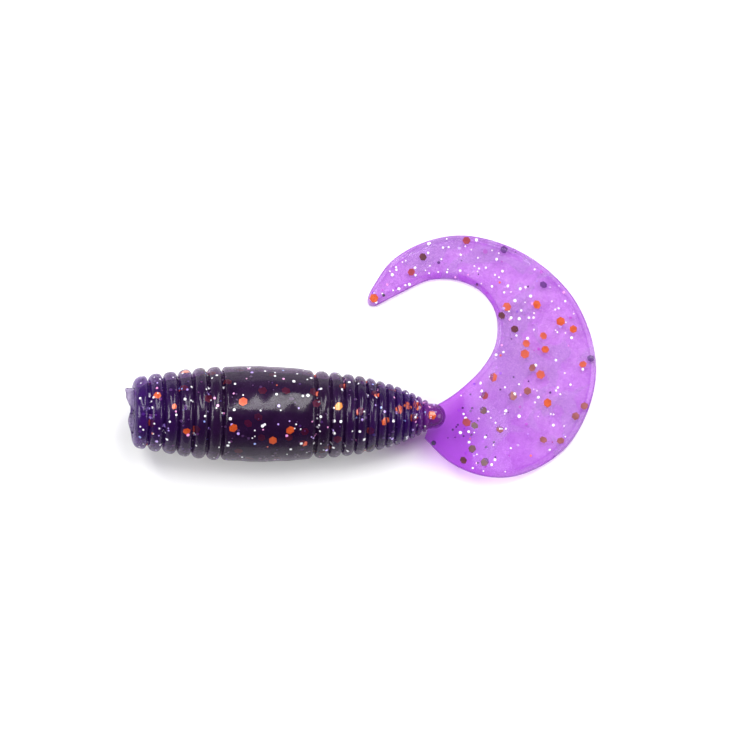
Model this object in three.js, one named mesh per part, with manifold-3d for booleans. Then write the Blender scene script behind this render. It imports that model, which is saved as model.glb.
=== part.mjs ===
// Ribbed curly-tail worm: a soft plastic fishing bait, moulded in one translucent plastic
// with glitter in it. The ribbed body is modelled as a chain of sections that meet at the
// grooves, and the curled tail as a chain of blades that meet at straight fold lines.
//
// Millimetres. +X runs from the nose to the tail, +Z is up, and the bait lies on its side
// on a flat surface. The origin is under the middle of the whole bait, on that surface.

import * as THREE from 'three';
import { mergeVertices } from 'three/addons/utils/BufferGeometryUtils.js';
import Module from 'manifold-3d';

const wasm = await Module();
wasm.setup();

// ---------------------------------------------------------------- driving dimensions

// the body, along its own axis
const BODY_PITCH = 5; // degrees that the nose is raised: the barrel rests behind its middle
const FRONT_RINGS = 6;
const FRONT_PITCH = 1.573; // length of one front ring
const NOSE_CREST_RADIUS = 3.84; // over the first ring
const FRONT_CREST_RADIUS = 4.94; // over the ring next to the band
const FRONT_BULGE = 1.25; // how the crest line between them swells: 1 is a plain cone
const NOSE_FACE_RADIUS = 2.8; // the flat cut face that a jig head seats against
const BAND_LENGTH = 10.0; // the smooth barrel
const BAND_FRONT_RADIUS = 4.9;
const BAND_RADIUS = 5.07; // at its fullest
const BAND_REAR_RADIUS = 4.64;
const BAND_FULLEST = 0.37; // where it is fullest, from 0 at the front to 1 at the rear
const BAND_SHOULDER = 0.6; // rounding of its two shoulders
const REAR_RINGS = 11; // loose rings; the twelfth is moulded on the tail root
const REAR_FIRST_PITCH = 1.566;
const REAR_PITCH_STEP = 0.918; // each rear ring is this much shorter than the one before
const REAR_CREST_RADIUS = 4.6;
const ROOT_CREST_RADIUS = 1.66; // over the last ring, on the tail root
const REAR_BULGE = 1.4;
const STUB_LENGTH = 1.88; // the rounded end behind the last ring
const STUB_RADIUS = 1.3;

// the grooves between sections
const GROOVE_WIDTH = 0.26; // share of the ring's pitch that is open at the groove's floor
const GROOVE_DEPTH = 0.4; // share of the pitch, below the crest
const PIVOT_GAP = 0.04; // left between two sections on the body's axis
const CREST_FULLNESS = 2.3; // 2 is an ellipse, more is squarer
const CREST_STEPS = 6; // flats that make up the round of a crest

// the tail
const BLADE_THICKNESS = 0.9;
const TIP_THICKNESS = 0.75;
const EDGE_THICKNESS = 0.36; // at the thin edge of the bevelled rim
const RIM_WIDTH = 0.65; // width of the bevel along each edge
const DROOP_LENGTH = 9.0; // the blade sinks from the body's axis to the surface in this
const FOLD_GAP = 0.04; // left between two blades on their fold line
const FOLD_ANGLE = 28; // degrees that two blades can fold before their faces meet

// Lines across the tail, from its inner edge to its outer edge, measured from the groove
// in front of the tail root: inner x, inner y, outer x, outer y.
const TAIL_LINES = [
  [1.55, 1.2, 0.25, -2.4],
  [3.2, 2.25, 2.95, -4.9],
  [4.7, 3.5, 5.65, -6.12],
  [6.2, 5.05, 8.88, -6.5],
  [7.78, 7.97, 15.02, -3.62],
  [7.55, 11.5, 18.56, 4.65],
  [5.95, 13.52, 16.08, 12.8],
  [4.35, 14.33, 9.82, 17.96],
  [1.02, 14.63, 3.03, 19.37],
  [-2.8, 12.97, -3.5, 16.55],
  [-5.72, 11.38, -6.22, 12.55],
];
const WEB_END = 1; // the web moulded on the root ends at this line
const FOLD_LINES = [1, 3, 4, 5, 6, 7, 8, 9]; // the blades fold on these lines

// glitter: the large hexagonal flakes that lie open at the surface
const FLAKE_ACROSS = 0.88; // across the flats, 1.016 over the corners
const FLAKE_THICKNESS = 0.12;
const FLAKE_CLEARANCE = 0.04; // all round the flake in its seat
const BODY_SEAT_DEPTH = 0.32; // from the crest to the seat's floor
const BLADE_SEAT_DEPTH = 0.24;

// what is left of the moulding gate on the cut face
const FLASH_THICKNESS = 0.45;
const FLASH_GAP = 0.03;

// ---------------------------------------------------------------- colours

const colours = {
  body: new THREE.Color(0x2a1247),
  blade: new THREE.Color(0x9a45d8),
  flash: new THREE.Color(0x5b3a86),
  flake: new THREE.Color(0xe0431e),
};

function plastic(colour) {
  return new THREE.MeshStandardMaterial({ color: colour, roughness: 0.22, metalness: 0 });
}

function foil(colour) {
  return new THREE.MeshStandardMaterial({ color: colour, roughness: 0.35, metalness: 0.5 });
}

// ---------------------------------------------------------------- solids

const radians = THREE.MathUtils.degToRad;
const mix = THREE.MathUtils.lerp;
const smooth = THREE.MathUtils.smootherstep;

// One closed mesh with shared vertices, no flat triangles and its faces pointing out.
function closedMesh(geometry) {
  const bare = geometry.index ? geometry.toNonIndexed() : geometry.clone();
  bare.deleteAttribute('normal');
  bare.deleteAttribute('uv');
  const merged = mergeVertices(bare, 1e-5);
  const position = merged.getAttribute('position');
  const source = merged.getIndex().array;
  const corners = [0, 1, 2].map(() => new THREE.Vector3());
  let triangles = [];
  let volume = 0;
  for (let i = 0; i < source.length; i += 3) {
    const [a, b, c] = [source[i], source[i + 1], source[i + 2]];
    if (a === b || b === c || c === a) continue;
    corners.forEach((corner, k) => corner.fromBufferAttribute(position, [a, b, c][k]));
    volume += corners[0].dot(corners[1].clone().cross(corners[2]));
    triangles.push([a, b, c]);
  }
  if (volume < 0) triangles = triangles.map(([a, b, c]) => [a, c, b]);
  const result = new THREE.BufferGeometry();
  result.setAttribute('position', position);
  result.setIndex(triangles.flat());
  return result;
}

function toSolid(geometry) {
  const mesh = closedMesh(geometry);
  return new wasm.Manifold(new wasm.Mesh({
    numProp: 3,
    vertProperties: Float32Array.from(mesh.getAttribute('position').array),
    triVerts: Uint32Array.from(mesh.getIndex().array),
  }));
}

function toGeometry(solid) {
  const mesh = solid.getMesh();
  const geometry = new THREE.BufferGeometry();
  geometry.setAttribute('position', new THREE.BufferAttribute(mesh.vertProperties, 3));
  geometry.setIndex(new THREE.BufferAttribute(mesh.triVerts, 1));
  return geometry;
}

function cut(geometry, tools) {
  let solid = toSolid(geometry);
  for (const tool of tools) solid = solid.subtract(toSolid(tool));
  return toGeometry(solid);
}

function join(first, second) {
  return toGeometry(toSolid(first).add(toSolid(second)));
}

// A round solid on the X axis. The profile is a list of [along, radius] that starts and
// ends on the axis.
function turned(profile, sides) {
  const points = profile.map(([along, radius]) => new THREE.Vector2(radius, along));
  const geometry = new THREE.LatheGeometry(points, sides);
  geometry.rotateZ(-Math.PI / 2);
  return closedMesh(geometry);
}

// The outside of a block of points: at(i, j, k) gives the point in row i, column j and
// layer k, and quads join neighbours on the block's six sides.
function block(rows, columns, layers, at) {
  const positions = [];
  const quad = (a, b, c, d) => {
    for (const corner of [a, b, c, a, c, d]) positions.push(...at(...corner));
  };
  const side = (first, second, place, outward) => {
    for (let p = 0; p < first - 1; p += 1) {
      for (let q = 0; q < second - 1; q += 1) {
        const ring = [place(p, q), place(p + 1, q), place(p + 1, q + 1), place(p, q + 1)];
        quad(...(outward ? ring : ring.reverse()));
      }
    }
  };
  const [iEnd, jEnd, kEnd] = [rows - 1, columns - 1, layers - 1];
  side(rows, columns, (i, j) => [i, j, kEnd], true);
  side(rows, columns, (i, j) => [i, j, 0], false);
  side(columns, layers, (j, k) => [iEnd, j, k], true);
  side(columns, layers, (j, k) => [0, j, k], false);
  side(layers, rows, (k, i) => [i, jEnd, k], true);
  side(layers, rows, (k, i) => [i, 0, k], false);
  const geometry = new THREE.BufferGeometry();
  geometry.setAttribute('position', new THREE.Float32BufferAttribute(positions, 3));
  return closedMesh(geometry);
}

// ---------------------------------------------------------------- the body's layout

function crestLine(count, nearBand, farEnd, bulge) {
  return (index) => farEnd + (nearBand - farEnd) * (1 - (index / (count - 1)) ** bulge);
}

const frontCrest = crestLine(FRONT_RINGS, FRONT_CREST_RADIUS, NOSE_CREST_RADIUS, FRONT_BULGE);
const rearCrest = crestLine(REAR_RINGS + 1, REAR_CREST_RADIUS, ROOT_CREST_RADIUS, REAR_BULGE);

// Sections from the nose to the tail root. A section's length runs from groove to groove.
const sections = [];
for (let i = 0; i < FRONT_RINGS; i += 1) {
  sections.push({ kind: 'ring', length: FRONT_PITCH, crest: frontCrest(FRONT_RINGS - 1 - i) });
}
sections.push({ kind: 'band', length: BAND_LENGTH, crest: BAND_FRONT_RADIUS });
for (let i = 0; i <= REAR_RINGS; i += 1) {
  sections.push({
    kind: i < REAR_RINGS ? 'ring' : 'root',
    length: REAR_FIRST_PITCH * REAR_PITCH_STEP ** i,
    crest: rearCrest(i),
  });
}

// Each groove takes its size from the ring beside it, or the shorter of the two rings.
const grooves = [];
for (let i = 0; i + 1 < sections.length; i += 1) {
  const beside = [sections[i], sections[i + 1]].filter((section) => section.kind !== 'band');
  const pitch = Math.min(...beside.map((section) => section.length));
  const crest = Math.min(...beside.map((section) => section.crest));
  grooves.push({ width: GROOVE_WIDTH * pitch, radius: crest - GROOVE_DEPTH * pitch });
}

let along = 0;
sections.forEach((section, i) => {
  section.start = along;
  along += section.length;
  section.front = grooves[i - 1];
  section.rear = grooves[i];
});
const root = sections[sections.length - 1];
const bandIndex = sections.findIndex((section) => section.kind === 'band');

// ---------------------------------------------------------------- the body's sections

// Crest of a ring between its two grooves, as a swelling on the line that joins them.
function crestArc(from, to, crest, steps) {
  const points = [];
  for (let i = 0; i <= steps; i += 1) {
    const angle = Math.PI * (i / steps);
    const share = (1 - Math.cos(angle)) / 2;
    const base = mix(from[1], to[1], share);
    const swell = (1 - Math.abs(2 * share - 1) ** CREST_FULLNESS) ** (1 / CREST_FULLNESS);
    const height = crest - (from[1] + to[1]) / 2;
    points.push([mix(from[0], to[0], share), base + height * swell]);
  }
  return points;
}

// Each end of a section is a shallow cone, so that neighbours can tilt about the point
// where their axes meet.
function ringProfile(section) {
  const { length, front, rear, crest } = section;
  const end = [length - rear.width / 2, rear.radius];
  const points = [];
  if (front) {
    points.push([PIVOT_GAP / 2, 0]);
    points.push(...crestArc([front.width / 2, front.radius], end, crest, CREST_STEPS));
  } else {
    const corner = crestArc([0, NOSE_FACE_RADIUS], end, crest, CREST_STEPS);
    points.push([0, 0]);
    points.push([0, NOSE_FACE_RADIUS]);
    points.push(...corner.slice(1).map(([x, radius]) => [x, Math.max(radius, NOSE_FACE_RADIUS)]));
  }
  points.push([length - PIVOT_GAP / 2, 0]);
  return points;
}

function bandRadius(share) {
  if (share < BAND_FULLEST) {
    const off = (BAND_FULLEST - share) / BAND_FULLEST;
    return BAND_RADIUS - (BAND_RADIUS - BAND_FRONT_RADIUS) * off ** 2;
  }
  const off = (share - BAND_FULLEST) / (1 - BAND_FULLEST);
  return BAND_RADIUS - (BAND_RADIUS - BAND_REAR_RADIUS) * off ** 2;
}

function bandProfile({ length, front, rear }) {
  const first = front.width / 2;
  const last = length - rear.width / 2;
  const points = [[PIVOT_GAP / 2, 0], [first, front.radius]];
  for (const angle of [0.35, 0.75, 1.15, Math.PI / 2]) {
    const inset = BAND_SHOULDER * (1 - Math.sin(angle));
    const x = first + BAND_SHOULDER * (1 - Math.cos(angle));
    points.push([x, Math.max(bandRadius(x / length) - inset, front.radius)]);
  }
  for (const share of [0.2, BAND_FULLEST, 0.55, 0.7, 0.83]) {
    points.push([length * share, bandRadius(share)]);
  }
  for (const angle of [Math.PI / 2, 1.15, 0.75, 0.35]) {
    const inset = BAND_SHOULDER * (1 - Math.sin(angle));
    const x = last - BAND_SHOULDER * (1 - Math.cos(angle));
    points.push([x, Math.max(bandRadius(x / length) - inset, rear.radius)]);
  }
  points.push([last, rear.radius], [length - PIVOT_GAP / 2, 0]);
  return points;
}

// The last ring runs into a rounded stub, which the tail grows from.
function rootProfile({ length, front, crest }) {
  const end = length + STUB_LENGTH;
  const points = [[PIVOT_GAP / 2, 0]];
  points.push(...crestArc([front.width / 2, front.radius], [length, STUB_RADIUS], crest, CREST_STEPS));
  for (const angle of [0.5, 0.85, 1.2]) {
    const x = end - STUB_RADIUS * (1 - Math.sin(angle));
    points.push([x, STUB_RADIUS * Math.cos(angle)]);
  }
  points.push([end, 0]);
  return points;
}

// ---------------------------------------------------------------- the tail's surface

function edgeCurve(column) {
  const points = TAIL_LINES.map((line) => new THREE.Vector3(line[column], line[column + 1], 0));
  return new THREE.CatmullRomCurve3(points, false, 'chordal');
}

const innerEdge = edgeCurve(0);
const outerEdge = edgeCurve(2);

// The line across the tail at a place counted in TAIL_LINES: its ends and its direction.
function tailLine(place) {
  const share = place / (TAIL_LINES.length - 1);
  const inner = innerEdge.getPoint(share);
  const outer = outerEdge.getPoint(share);
  const across = outer.clone().sub(inner);
  const width = across.length();
  across.normalize();
  const forward = new THREE.Vector3(-across.y, across.x, 0);
  const middle = inner.clone().lerp(outer, 0.5);
  return { inner, across, forward, width, middle };
}

function bladeThickness(place) {
  return mix(BLADE_THICKNESS, TIP_THICKNESS, place / (TAIL_LINES.length - 1));
}

// Distance along the middle of the tail, from the end of the web to a place.
function distanceFromWeb(place) {
  let distance = 0;
  for (let at = WEB_END; at < place; at += 0.25) {
    const step = tailLine(Math.min(at + 0.25, place)).middle;
    distance += step.distanceTo(tailLine(at).middle);
  }
  return distance;
}

// Height of the blade's middle plane: on the body's axis at the web, and lying flat on the
// surface once the droop is over.
function bladeHeight(place, rootHeight) {
  const axis = rootHeight - tailLine(place).middle.x * Math.tan(radians(BODY_PITCH));
  const landed = smooth(distanceFromWeb(place), 0, DROOP_LENGTH);
  return mix(axis, bladeThickness(place) / 2, landed);
}

// Points of one blade between two places on the tail. An end on a fold line is a wedge
// whose ridge lies on that line, so that the two blades can fold about it.
function blade(from, to, folds, rows, rootHeight) {
  return block(rows, 4, 3, (i, j, k) => {
    const share = i / (rows - 1);
    const place = mix(from, to, share);
    const { inner, across, forward, width } = tailLine(place);
    const rim = Math.min(RIM_WIDTH, 0.4 * width);
    const offset = [0, rim, width - rim, width][j];
    const half = (j === 0 || j === 3 ? EDGE_THICKNESS : bladeThickness(place)) / 2;
    const point = inner.clone().addScaledVector(across, offset);
    const setback = FOLD_GAP / 2 + Math.abs(k - 1) * half * Math.tan(radians(FOLD_ANGLE / 2));
    if (i === 0 && folds[0]) point.addScaledVector(forward, setback);
    if (i === rows - 1 && folds[1]) point.addScaledVector(forward, -setback);
    return [point.x, point.y, bladeHeight(place, rootHeight) + (k - 1) * half];
  });
}

// ---------------------------------------------------------------- the glitter

// A hexagonal plate lying flat, with its middle at the origin.
function hexagon(across, thickness) {
  const geometry = new THREE.CylinderGeometry(across / Math.sqrt(3), across / Math.sqrt(3), thickness, 6);
  geometry.rotateX(Math.PI / 2);
  return geometry;
}

// A seat is a hexagonal pocket open to the surface, with a flake lying in it. The
// placement turns +Z into the surface's outward direction, with the crest at its origin.
function seatTool(depth, placement) {
  const opening = 1.2;
  const tool = hexagon(FLAKE_ACROSS + 2 * FLAKE_CLEARANCE, depth + opening);
  tool.translate(0, 0, (opening - depth) / 2);
  return tool.applyMatrix4(placement);
}

function seatedFlake(depth, placement) {
  const flake = hexagon(FLAKE_ACROSS, FLAKE_THICKNESS);
  flake.translate(0, 0, FLAKE_CLEARANCE + FLAKE_THICKNESS / 2 - depth);
  return closedMesh(flake.applyMatrix4(placement));
}

// On a section: share of its length, and degrees round from the top towards +Y.
function bodyPlacement(section, share, turn) {
  const radius = section.kind === 'band' ? bandRadius(share) : section.crest;
  const matrix = new THREE.Matrix4().makeRotationX(-radians(turn));
  const lift = new THREE.Matrix4().makeTranslation(share * section.length, 0, radius);
  const spin = new THREE.Matrix4().makeRotationZ(radians(7 * turn));
  return matrix.multiply(lift).multiply(spin);
}

// On a blade: place counted in TAIL_LINES, and share of the width from the inner edge.
function bladePlacement(place, share, rootHeight) {
  const { inner, across, width } = tailLine(place);
  const point = inner.clone().addScaledVector(across, share * width);
  const top = bladeHeight(place, rootHeight) + bladeThickness(place) / 2;
  const lift = new THREE.Matrix4().makeTranslation(point.x, point.y, top);
  return lift.multiply(new THREE.Matrix4().makeRotationZ(radians(83 * place)));
}

// section index, share of its length, degrees round
const BODY_FLAKES = [
  [1, 0.5, 27],
  [3, 0.5, -25],
  [bandIndex, 0.1, -18],
  [bandIndex, 0.2, 15],
  [bandIndex, 0.53, -34],
  [bandIndex, 0.71, -20],
  [bandIndex, 0.86, -40],
  [bandIndex + 2, 0.5, 12],
  [bandIndex + 2, 0.5, -36],
];

// blade index, place, share of the width from the inner edge
const BLADE_FLAKES = [
  [0, 1.81, 0.42],
  [0, 2.42, 0.85],
  [1, 3.36, 0.15],
  [1, 3.66, 0.39],
  [2, 4.23, 0.66],
  [2, 4.44, 0.5],
  [2, 4.5, 0.31],
  [3, 5.47, 0.18],
  [3, 5.56, 0.72],
  [3, 5.78, 0.54],
  [7, 9.78, 0.47],
];

// ---------------------------------------------------------------- assembly

const bait = new THREE.Group();
bait.name = 'curly_tail_worm';

function addMesh(group, name, geometry, material) {
  const mesh = new THREE.Mesh(geometry, material);
  mesh.name = name;
  group.add(mesh);
  return mesh;
}

function numbered(name, index) {
  return `${name}_${String(index).padStart(2, '0')}`;
}

const body = new THREE.Group();
body.rotation.y = radians(BODY_PITCH);
bait.add(body);

function turnedSides(radius) {
  return Math.round(THREE.MathUtils.clamp(8 * radius, 22, 34) / 2) * 2;
}

const profiles = { ring: ringProfile, band: bandProfile };
let ringNumber = 0;
sections.slice(0, -1).forEach((section, i) => {
  const name = section.kind === 'band' ? 'smooth_band' : numbered('ring', (ringNumber += 1));
  const seats = BODY_FLAKES.filter(([index]) => index === i);
  const placements = seats.map(([, share, turn]) => bodyPlacement(section, share, turn));
  let geometry = turned(profiles[section.kind](section), turnedSides(section.crest));
  if (seats.length) {
    geometry = cut(geometry, placements.map((place) => seatTool(BODY_SEAT_DEPTH, place)));
  }
  addMesh(body, name, geometry, plastic(colours.body)).position.x = section.start;
  placements.forEach((place) => {
    const number = BODY_FLAKES.findIndex(([index, share, turn]) => {
      const other = bodyPlacement(sections[index], share, turn);
      return index === i && other.equals(place);
    });
    const flake = seatedFlake(BODY_SEAT_DEPTH, place);
    addMesh(body, numbered('body_flake', number + 1), flake, foil(colours.flake)).position.x =
      section.start;
  });
});

// The gate's two torn leaves stand on the cut face: their span across it, how far they
// stand out, and their height above the axis.
function flashLeaf(low, high, reach, height) {
  return block(7, 2, 2, (i, j, k) => {
    const share = i / 6;
    const fullness = Math.sin(Math.PI * (0.12 + 0.8 * share));
    const out = FLASH_GAP + (j === 1 ? reach * fullness : 0);
    return [-out, mix(low, high, share), height + (k - 0.5) * FLASH_THICKNESS];
  });
}

addMesh(body, 'gate_flash_upper', flashLeaf(0.15, 2.6, 0.95, 1.1), plastic(colours.flash));
addMesh(body, 'gate_flash_lower', flashLeaf(-2.3, 0.0, 0.55, 0.9), plastic(colours.flash));

// The surface that the bait lies on is level with the body's lowest point.
body.updateMatrixWorld(true);
const restLevel = new THREE.Box3().setFromObject(body, true).min.z;
body.position.z = -restLevel;
body.updateMatrixWorld(true);
const rootPoint = body.localToWorld(new THREE.Vector3(root.start, 0, 0));

const tail = new THREE.Group();
tail.position.set(rootPoint.x, 0, 0);
bait.add(tail);

const stub = turned(rootProfile(root), 24);
stub.rotateY(radians(BODY_PITCH));
stub.translate(0, 0, rootPoint.z);
const web = blade(0, WEB_END, [false, true], 4, rootPoint.z);
addMesh(tail, 'tail_root', join(stub, web), plastic(colours.blade));

const ends = [...FOLD_LINES.slice(1), TAIL_LINES.length - 1];
FOLD_LINES.forEach((from, i) => {
  const to = ends[i];
  const isTip = i === FOLD_LINES.length - 1;
  const rows = i < 2 ? 7 : 5;
  const placements = BLADE_FLAKES.map(([index, place, share]) => (
    index === i ? bladePlacement(place, share, rootPoint.z) : null
  ));
  let geometry = blade(from, to, [true, !isTip], rows, rootPoint.z);
  const tools = placements.filter(Boolean).map((place) => seatTool(BLADE_SEAT_DEPTH, place));
  if (tools.length) geometry = cut(geometry, tools);
  addMesh(tail, isTip ? 'tail_tip' : numbered('tail_blade', i + 1), geometry, plastic(colours.blade));
  placements.forEach((place, number) => {
    if (!place) return;
    const flake = seatedFlake(BLADE_SEAT_DEPTH, place);
    addMesh(tail, numbered('tail_flake', number + 1), flake, foil(colours.flake));
  });
});

// The origin goes under the middle of the whole bait.
bait.updateMatrixWorld(true);
const box = new THREE.Box3().setFromObject(bait, true);
bait.position.set(-(box.min.x + box.max.x) / 2, -(box.min.y + box.max.y) / 2, -box.min.z);
bait.updateMatrixWorld(true);

export default bait;
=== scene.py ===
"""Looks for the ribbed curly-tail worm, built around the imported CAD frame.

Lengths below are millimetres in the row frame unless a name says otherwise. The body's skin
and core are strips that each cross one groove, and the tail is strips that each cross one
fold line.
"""

import functools
import math
import random

import bpy
import numpy as np
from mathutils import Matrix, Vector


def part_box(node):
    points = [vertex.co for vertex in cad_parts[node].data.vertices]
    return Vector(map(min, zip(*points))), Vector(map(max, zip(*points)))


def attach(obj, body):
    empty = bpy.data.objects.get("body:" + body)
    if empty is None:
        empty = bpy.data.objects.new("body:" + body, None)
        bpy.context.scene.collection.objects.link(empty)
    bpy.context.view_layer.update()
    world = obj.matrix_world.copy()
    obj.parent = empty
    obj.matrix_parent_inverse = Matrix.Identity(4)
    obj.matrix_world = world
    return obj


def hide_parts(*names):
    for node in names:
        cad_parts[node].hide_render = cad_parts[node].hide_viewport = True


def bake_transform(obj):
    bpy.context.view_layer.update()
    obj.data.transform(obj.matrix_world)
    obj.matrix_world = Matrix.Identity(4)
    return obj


MM = 0.001
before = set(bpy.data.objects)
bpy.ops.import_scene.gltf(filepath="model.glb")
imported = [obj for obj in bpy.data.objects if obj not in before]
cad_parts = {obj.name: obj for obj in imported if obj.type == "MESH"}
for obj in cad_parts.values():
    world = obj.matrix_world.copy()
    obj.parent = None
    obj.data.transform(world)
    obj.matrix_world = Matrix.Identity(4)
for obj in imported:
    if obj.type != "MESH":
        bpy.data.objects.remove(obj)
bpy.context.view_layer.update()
rng = random.Random(627)

# ------------------------------------------------------------ the CAD's own dimensions

PITCH = math.radians(5.0)
NOSE = np.array([-24.330922, -6.440332, 6.374397])
AXIS = np.array([math.cos(PITCH), 0.0, -math.sin(PITCH)])
UP = np.array([math.sin(PITCH), 0.0, math.cos(PITCH)])
SIDE = np.array([0.0, 1.0, 0.0])

FRONT_RINGS, FRONT_PITCH = 6, 1.573
BAND_LENGTH, BAND_FULLEST, BAND_SHOULDER = 10.0, 0.37, 0.6
BAND_FRONT_RADIUS, BAND_RADIUS, BAND_REAR_RADIUS = 4.9, 5.07, 4.64
REAR_RINGS, REAR_FIRST_PITCH, REAR_PITCH_STEP = 11, 1.566, 0.918
NOSE_FACE_RADIUS = 2.8
STUB_LENGTH, STUB_RADIUS = 1.88, 1.3
GROOVE_DEPTH, GROOVE_GAP, GROOVE_FILLED = 0.4, 0.035, 0.92

TAIL_ORIGIN = np.array([6.634792, -6.440332])
TAIL_LINES = np.array([
    [1.55, 1.2, 0.25, -2.4],
    [3.2, 2.25, 2.95, -4.9],
    [4.7, 3.5, 5.65, -6.12],
    [6.2, 5.05, 8.88, -6.5],
    [7.78, 7.97, 15.02, -3.62],
    [7.55, 11.5, 18.56, 4.65],
    [5.95, 13.52, 16.08, 12.8],
    [4.35, 14.33, 9.82, 17.96],
    [1.02, 14.63, 3.03, 19.37],
    [-2.8, 12.97, -3.5, 16.55],
    [-5.72, 11.38, -6.22, 12.55],
])
FOLD_LINES = [1, 3, 4, 5, 6, 7, 8, 9]
BLADE_THICKNESS, TIP_THICKNESS, EDGE_THICKNESS = 0.9, 0.75, 0.36
DROOP_LENGTH = 9.0
FLAKE_ACROSS = 0.88

# ------------------------------------------------------------ materials


class Nodes:
    """A material's node tree, with short ways to add to it."""

    def __init__(self, name):
        self.material = bpy.data.materials.new(name)
        self.material.use_nodes = True
        self.tree = self.material.node_tree
        self.tree.nodes.clear()
        self.output = self.add("ShaderNodeOutputMaterial")

    def add(self, kind, inputs=None, **settings):
        """A new node. An input is given a number, a colour or the output to link."""
        node = self.tree.nodes.new(kind)
        for key, value in settings.items():
            setattr(node, key, value)
        for key, value in (inputs or {}).items():
            if isinstance(value, (int, float)):
                node.inputs[key].default_value = value
            elif isinstance(value, tuple):
                node.inputs[key].default_value = (*value, 1.0)
            else:
                self.tree.links.new(value, node.inputs[key])
        return node

    def attribute(self, name, output="Fac"):
        return self.add("ShaderNodeAttribute", attribute_name=name).outputs[output]

    def noise(self, scale, detail=3.0, roughness=0.55, distortion=0.0):
        """Noise over the rest position in millimetres, so that it doesn't slide on the mesh."""
        return self.add("ShaderNodeTexNoise", {
            "Scale": scale, "Detail": detail, "Roughness": roughness,
            "Distortion": distortion, "Vector": self.attribute("rest", "Vector"),
        }).outputs["Fac"]

    def ramp(self, source, start, first, end, second):
        """One colour up to start, another from end, and a blend between."""
        node = self.add("ShaderNodeValToRGB", {"Fac": source})
        for element, position, colour in zip(node.color_ramp.elements, (start, end),
                                             (first, second)):
            element.position = position
            element.color = (*colour, 1.0)
        return node.outputs["Color"]

    def spread(self, source, low, high, start=0.3, end=0.7):
        return self.add("ShaderNodeMapRange", {
            "From Min": start, "From Max": end, "To Min": low, "To Max": high, "Value": source,
        }).outputs["Result"]

    def blend(self, factor, first, second, mode="MIX"):
        return self.add("ShaderNodeMix", {0: factor, 6: first, 7: second},
                        data_type="RGBA", blend_type=mode).outputs[2]

    def math(self, operation, first, second):
        return self.add("ShaderNodeMath", {0: first, 1: second},
                        operation=operation, use_clamp=True).outputs[0]

    def bump(self, height, distance, strength):
        return self.add("ShaderNodeBump", {
            "Distance": distance, "Strength": strength, "Height": height}).outputs["Normal"]

    def principled(self, inputs):
        return self.add("ShaderNodeBsdfPrincipled", inputs).outputs["BSDF"]

    def clear_mix(self, tint, solid, share):
        """Tinted see-through plastic: share of it is the solid shader."""
        clear = self.add("ShaderNodeBsdfTransparent", {"Color": tint}).outputs[0]
        mixer = self.add("ShaderNodeMixShader", {0: share, 1: clear, 2: solid})
        return self.surface(mixer.outputs[0])

    def surface(self, shader):
        self.tree.links.new(shader, self.output.inputs["Surface"])
        return self.material


def body_skin_material():
    n = Nodes("body_skin")
    tone = n.attribute("tone")
    cloud = n.noise(0.45, 4.0, 0.6, 0.4)
    dark = n.ramp(cloud, 0.3, (0.014, 0.003, 0.021), 0.7, (0.028, 0.008, 0.040))
    vivid = n.ramp(cloud, 0.3, (0.022, 0.002, 0.066), 0.7, (0.050, 0.008, 0.125))
    warm = n.spread(tone, 0.0, 1.0, 0.82, 1.0)
    colour = n.blend(warm, n.blend(tone, dark, vivid), (0.150, 0.022, 0.200))
    grain = n.noise(4.5, 4.0, 0.7)
    solid = n.principled({
        "Base Color": colour,
        "Roughness": n.spread(n.noise(1.6, 4.0, 0.65), 0.11, 0.25),
        "IOR": 1.5,
        "Specular IOR Level": 0.42,
        "Coat Weight": 0.18,
        "Coat Roughness": 0.07,
        "Sheen Weight": 0.02,
        "Sheen Roughness": 0.45,
        "Sheen Tint": (0.78, 0.66, 0.95),
        "Normal": n.bump(grain, 0.00002, 0.18),
    })
    tint = n.blend(tone, (0.46, 0.30, 0.52), (0.48, 0.26, 0.74))
    tint = n.blend(warm, tint, (0.700, 0.380, 0.800))
    return n.clear_mix(tint, solid, 0.50)


def body_core_material():
    n = Nodes("body_core")
    tone = n.attribute("tone")
    cloud = n.noise(0.8, 5.0, 0.65, 0.8)
    dark = n.ramp(cloud, 0.3, (0.016, 0.004, 0.026), 0.72, (0.055, 0.018, 0.085))
    vivid = n.ramp(cloud, 0.3, (0.070, 0.012, 0.20), 0.72, (0.14, 0.03, 0.34))
    warm = n.spread(tone, 0.0, 1.0, 0.82, 1.0)
    return n.surface(n.principled({
        "Base Color": n.blend(warm, n.blend(tone, dark, vivid), (0.300, 0.060, 0.380)),
        "Roughness": n.spread(n.noise(2.2, 3.0), 0.5, 0.7),
        "Normal": n.bump(n.noise(3.0, 4.0), 0.00005, 0.5),
    }))


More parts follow.
